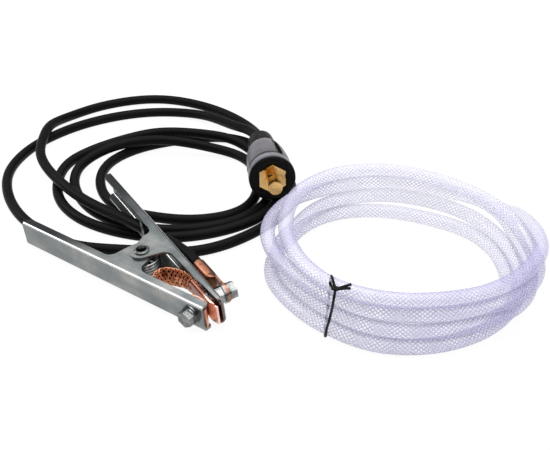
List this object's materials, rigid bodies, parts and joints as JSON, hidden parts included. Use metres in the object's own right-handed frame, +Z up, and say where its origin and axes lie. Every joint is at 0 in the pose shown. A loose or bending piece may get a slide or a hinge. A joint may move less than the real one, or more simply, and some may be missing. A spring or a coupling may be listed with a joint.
{
  "type": "earth lead and gas hose set",
  "caption": "Spring earth clamp with copper jaws on a long rubber cable with a bayonet plug, beside a coil of clear braided hose held by a wire tie.",
  "frame": {"origin": "centre of the floor area that the clamp and hose coil cover, on the floor", "axes": "+X along the near clamp arm from its handle to its jaw, +Y from the clamp to the hose coil's far side, +Z up"},
  "size_m": [0.5965, 0.3471, 0.058],
  "materials": {
    "zinc_plate": "zinc-plated pressed sheet, satin grey",
    "bright_steel": "bright zinc-plated fasteners",
    "spring_steel": "plain spring wire",
    "copper": "bare copper, slightly dulled",
    "copper_braid": "woven copper wire",
    "black_rubber": "satin black rubber",
    "grey_rubber": "moulded black rubber with a grey sheen",
    "brass": "turned brass",
    "clear_hose": "clear PVC over white braid, lavender tint",
    "black_plastic": "plastic-covered wire"
  },
  "bodies": {
    "set": {"pivot_rivet": "bright_steel", "torsion_spring": "spring_steel", "braid_strap": "copper_braid", "ground_cable": "black_rubber", "plug_boot": "black_rubber", "plug_grip": "grey_rubber", "plug_collar": "grey_rubber", "plug_nose": "black_rubber", "plug_contact": "brass", "plug_ferrule": "copper", "plug_set_screws": "spring_steel", "hose_coil": "clear_hose", "twist_tie": "black_plastic", "near_arm": "zinc_plate", "near_jaw_pad": "copper", "near_braid_ferrule": "copper", "near_bolt": "bright_steel", "near_washers": "bright_steel", "near_nut": "bright_steel"},
    "far_jaw": {"far_arm": "zinc_plate", "far_jaw_pad": "copper", "far_braid_ferrule": "copper", "far_bolt": "bright_steel", "far_washers": "bright_steel", "far_nuts": "bright_steel", "cable_lug": "copper"}
  },
  "joints": [
    {"name": "clamp_hinge", "type": "hinge", "parent": "set", "child": "far_jaw", "pos_m": [-0.0775, -0.11536, 0.01706], "axis": [0, -0.1564, 0.9877], "range_deg": [0, 15], "stiffness_Nm_per_rad": 8, "springref_deg": -20.05, "deforming": ["torsion_spring", "braid_strap", "ground_cable"]}
  ]
}
